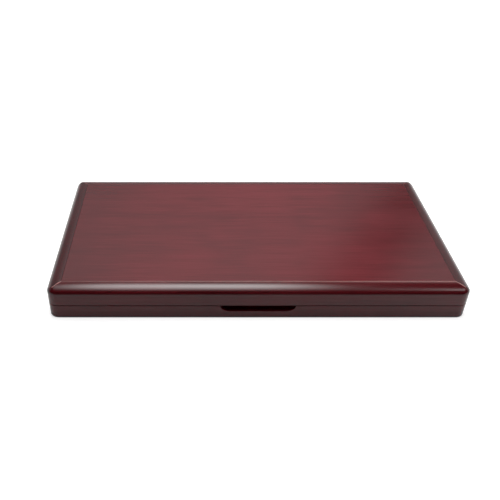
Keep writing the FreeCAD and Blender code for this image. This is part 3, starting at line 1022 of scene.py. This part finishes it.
def magnets(body, level, rim, facing):
    """A pair of discs with rounded edges, and the pockets that they sit in."""
    node = f"{body}_magnets"
    places = [-magnet_x, magnet_x]
    flat_radius = magnet_radius - magnet_edge
    top = arc((flat_radius, magnet_edge), magnet_edge, 270, 360, 6)
    foot = arc((flat_radius, magnet_thickness - magnet_edge), magnet_edge, 0, 90, 6)
    section = np.vstack([top, foot])
    disc = turned(places, magnet_y, level, facing, section[:, 0], section[:, 1])
    add_piece(swept_mesh(f"{node}_nickel", disc), nickel, body, node)
    pocket = np.full(2, magnet_radius + pocket_room)
    pocket_depth = np.array([-magnet_thickness, magnet_thickness + 2 * pocket_room])
    cut_away(front_rails[body], turned(places, magnet_y, rim, facing, pocket, pocket_depth))


# Barrel-plated nickel: warm grey and bright, a little clouded, with a faint pitted bloom.
nickel = mottled(
    "nickel_plate",
    broad=(3, 3.0),
    fine=(0.4, 2.0),
    tone_share=0.0,
    relief_share=1.0,
    tones=[(0.3, nickel_dark), (0.6, nickel_light)],
    relief=(0.1, 0.05 * mm),
    surface={"Metallic": 1.0},
    gloss=(1.0, 0.18, 0.34),
)
magnets("base", magnet_high.z, base_top, 1)
magnets("lid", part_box("lid_magnets")[0].z, lid_bottom, -1)


# Studio
# A floor of pale paper, a soft white room that is dark behind the camera, a large soft lamp overhead
# and a small one to the right.
camera_place = (-52.07 * mm, -489.32 * mm, 356.15 * mm)
camera_pitch = 35.775
focal_pixels = 631.1
principal_x = 195.41
image_width = 500
sensor_width = 36

camera_data = bpy.data.cameras.new("camera")
camera_data.sensor_width = sensor_width
camera_data.lens = focal_pixels / image_width * sensor_width
camera_data.shift_x = 0.5 - principal_x / image_width
camera = bpy.data.objects.new("camera", camera_data)
camera.location = camera_place
camera.rotation_euler = (math.radians(90 - camera_pitch), 0, 0)
scene.collection.objects.link(camera)
scene.camera = camera


def stage_plane(name, low, high, height, material):
    """A level rectangle of the studio between two corners."""
    corners = [(low[0], low[1]), (high[0], low[1]), (high[0], high[1]), (low[0], high[1])]
    mesh = bpy.data.meshes.new(name)
    mesh.from_pydata([(x, y, height) for x, y in corners], [], [(0, 1, 2, 3)])
    mesh.materials.append(material)
    plane = bpy.data.objects.new(name, mesh)
    scene.collection.objects.link(plane)


lamp_height = 1.2
lamp_low = (-0.75, -0.7)
lamp_high = (0.65, 1.7)
lamp_centre = (-0.06, 0.33)
lamp_reach = (0.34, 0.5)
lamp_back_reach = 0.36
lamp_edge_power = 6.0
lamp_peak = 10.0

diffuser, tree = new_material("lamp_diffuser")
centred = {
    "Vector": add_node(tree, "TexCoord")["Object"],
    "Location": (-lamp_centre[0] / lamp_reach[0], -lamp_centre[1] / lamp_reach[1], 0),
    "Scale": (1 / lamp_reach[0], 1 / lamp_reach[1], 0),
}
lamp_axes = add_node(tree, "SeparateXYZ", {0: add_node(tree, "Mapping", centred)[0]})
across = {0: lamp_axes["X"], 1: lamp_edge_power}
across = add_node(tree, "Math", across, operation="POWER")[0]
rear = {0: lamp_axes["Y"], 1: lamp_reach[1] / lamp_back_reach}
rear = add_node(tree, "Math", rear, operation="MULTIPLY")[0]
along = add_node(tree, "Math", {0: lamp_axes["Y"], 1: rear}, operation="MAXIMUM")[0]
fall = add_node(tree, "Math", {0: along, 1: along, 2: across}, operation="MULTIPLY_ADD")[0]
glow = add_node(tree, "Math", {0: math.exp(-1), 1: fall}, operation="POWER")[0]
glow = add_node(tree, "Math", {0: glow, 1: lamp_peak}, operation="MULTIPLY")[0]
shine = add_node(tree, "Emission", {"Strength": glow})[0]
clear = add_node(tree, "BsdfTransparent")[0]
shader = add_node(tree, "AddShader", {0: shine, 1: clear})[0]
add_node(tree, "OutputMaterial", {"Surface": shader})
stage_plane("lamp", lamp_low, lamp_high, lamp_height, diffuser)

side_lamp_place = (0.6, -0.25, lamp_height)
side_lamp_turn = math.radians(21)
side_lamp_data = bpy.data.lights.new("side_lamp", "AREA")
side_lamp_data.shape = "RECTANGLE"
side_lamp_data.size = 0.26
side_lamp_data.size_y = 0.55
side_lamp_data.energy = 2.6
side_lamp = bpy.data.objects.new("side_lamp", side_lamp_data)
side_lamp.location = side_lamp_place
side_lamp.rotation_euler = (0, 0, side_lamp_turn)
scene.collection.objects.link(side_lamp)

white = "#ffffff"
smooth = {"interpolation_type": "SMOOTHSTEP"}
world = bpy.data.worlds.new("studio")
scene.world = world
world.use_nodes = True
tree = world.node_tree
tree.nodes.clear()
way = add_node(tree, "TexCoord")["Generated"]
axes = add_node(tree, "SeparateXYZ", {0: way})

# A dark screen leans across the right of the room, on the line x + 0.68 z = 0.659 of the view's direction.
screen_lean = (1.0, 0.0, 0.68)
screen_place = 0.659
aside = add_node(tree, "VectorMath", {0: way, 1: screen_lean}, operation="DOT_PRODUCT")["Value"]
aside = add_node(tree, "Math", {0: aside, 1: screen_place}, operation="SUBTRACT")[0]
aside = add_node(tree, "Math", {0: aside}, operation="ABSOLUTE")[0]

# Each part of the room fades from one strength to another along an axis of the view, or off the screen.
fades = {
    "horizon": {"Value": axes["Z"], "From Min": 0.1, "From Max": 0.28, "To Min": 0.95, "To Max": 0.0},
    "wall": {"Value": axes["Z"], "From Min": 0.66, "From Max": 0.76, "To Min": 1.0, "To Max": 0.03},
    "upper": {"Value": axes["Z"], "From Min": 0.46, "From Max": 0.64, "To Min": 0.58, "To Max": 1.1},
    "behind": {"Value": axes["Y"], "From Min": -0.3, "From Max": 0.1, "To Min": 0.03, "To Max": 1.0},
    "left": {"Value": axes["X"], "From Min": -0.5, "From Max": -0.2, "To Min": 0.6, "To Max": 1.0},
    "screen": {"Value": aside, "From Min": 0.01, "From Max": 0.06, "To Min": 0.05, "To Max": 1.0},
}
faded = {part: add_node(tree, "MapRange", fade, **smooth)[0] for part, fade in fades.items()}
backdrop = faded["wall"]
for part in ("behind", "upper", "left", "screen"):
    backdrop = add_node(tree, "Math", {0: backdrop, 1: faded[part]}, operation="MULTIPLY")[0]
rays = add_node(tree, "LightPath")
echoed = add_node(tree, "Math", {0: rays["Is Glossy Ray"], 1: rays["Is Transmission Ray"]})[0]
echoed = add_node(tree, "Math", {0: echoed, 1: faded["behind"]}, operation="MULTIPLY")[0]
horizon = add_node(tree, "Math", {0: faded["horizon"], 1: echoed}, operation="MULTIPLY")[0]
level = add_node(tree, "Math", {0: backdrop, 1: horizon}, operation="MAXIMUM")[0]
level = add_node(tree, "Math", {0: level, 1: rays["Is Camera Ray"]}, operation="MAXIMUM")[0]
sky = add_node(tree, "Background", {"Color": linear(white), "Strength": level})[0]
add_node(tree, "OutputWorld", {"Surface": sky})

# The paper is lifted to white for the camera, but the lift stops at the case's outline, leaving a thin
# painted contact shadow there over the paper's real shade. In reflections it is painted darker near
# by, a pool of painted shade centred a little left of the case.
paper_grey = "#b4b4b4"
floor_half = 4.0
contact_shadow_reach = 0.4 * mm
painted_shade_centre = (-45 * mm, 0, 0)
paper, tree = new_material("white_paper")
spot = add_node(tree, "TexCoord")["Object"]
away = add_node(tree, "VectorMath", {0: spot, 1: painted_shade_centre}, operation="DISTANCE")["Value"]
# How far a point lies past the case's rounded outline, where the painted contact shadow ends.
past = add_node(tree, "VectorMath", {0: spot}, operation="ABSOLUTE")[0]
straight = (half_width - corner_radius, half_depth - corner_radius, 0)
past = add_node(tree, "VectorMath", {0: past, 1: straight}, operation="SUBTRACT")[0]
past = add_node(tree, "VectorMath", {0: past, 1: (0, 0, 0)}, operation="MAXIMUM")[0]
past = add_node(tree, "VectorMath", {0: past}, operation="LENGTH")["Value"]
edge = {"From Min": corner_radius - contact_shadow_reach, "From Max": corner_radius + contact_shadow_reach}
# The first fade paints shade round the case in reflections; the last paints a contact shadow at its outline.
fades = {
    "reflected_painted_shade": {"Value": away, "From Min": 0.12, "From Max": 0.5, "To Min": 0.27, "To Max": 1.0},
    "lift": {"Value": away, "From Min": 0.5, "From Max": 1.5, "To Min": 0.77, "To Max": 0.95},
    "open": {"Value": past, **edge},
}
faded = {part: add_node(tree, "MapRange", fade, **smooth)[0] for part, fade in fades.items()}
rays = add_node(tree, "LightPath")
echoed = add_node(tree, "Math", {0: rays["Is Glossy Ray"], 1: rays["Is Transmission Ray"]})[0]
reflected_painted_shade = add_node(tree, "Math", {0: echoed, 1: faded["reflected_painted_shade"]}, operation="MULTIPLY")[0]
lift = add_node(tree, "Math", {0: faded["open"], 1: faded["lift"]}, operation="MULTIPLY")[0]
seen = {0: rays["Is Camera Ray"], 1: lift, 2: reflected_painted_shade}
seen = add_node(tree, "Math", seen, operation="MULTIPLY_ADD")[0]
matt = add_node(tree, "BsdfDiffuse", {"Color": linear(paper_grey)})[0]
lifted = add_node(tree, "Emission", {"Strength": seen})[0]
shader = add_node(tree, "AddShader", {0: matt, 1: lifted})[0]
add_node(tree, "OutputMaterial", {"Surface": shader})
stage_plane("floor", (-floor_half, -floor_half), (floor_half, floor_half), 0, paper)

scene.view_settings.view_transform = "Standard"
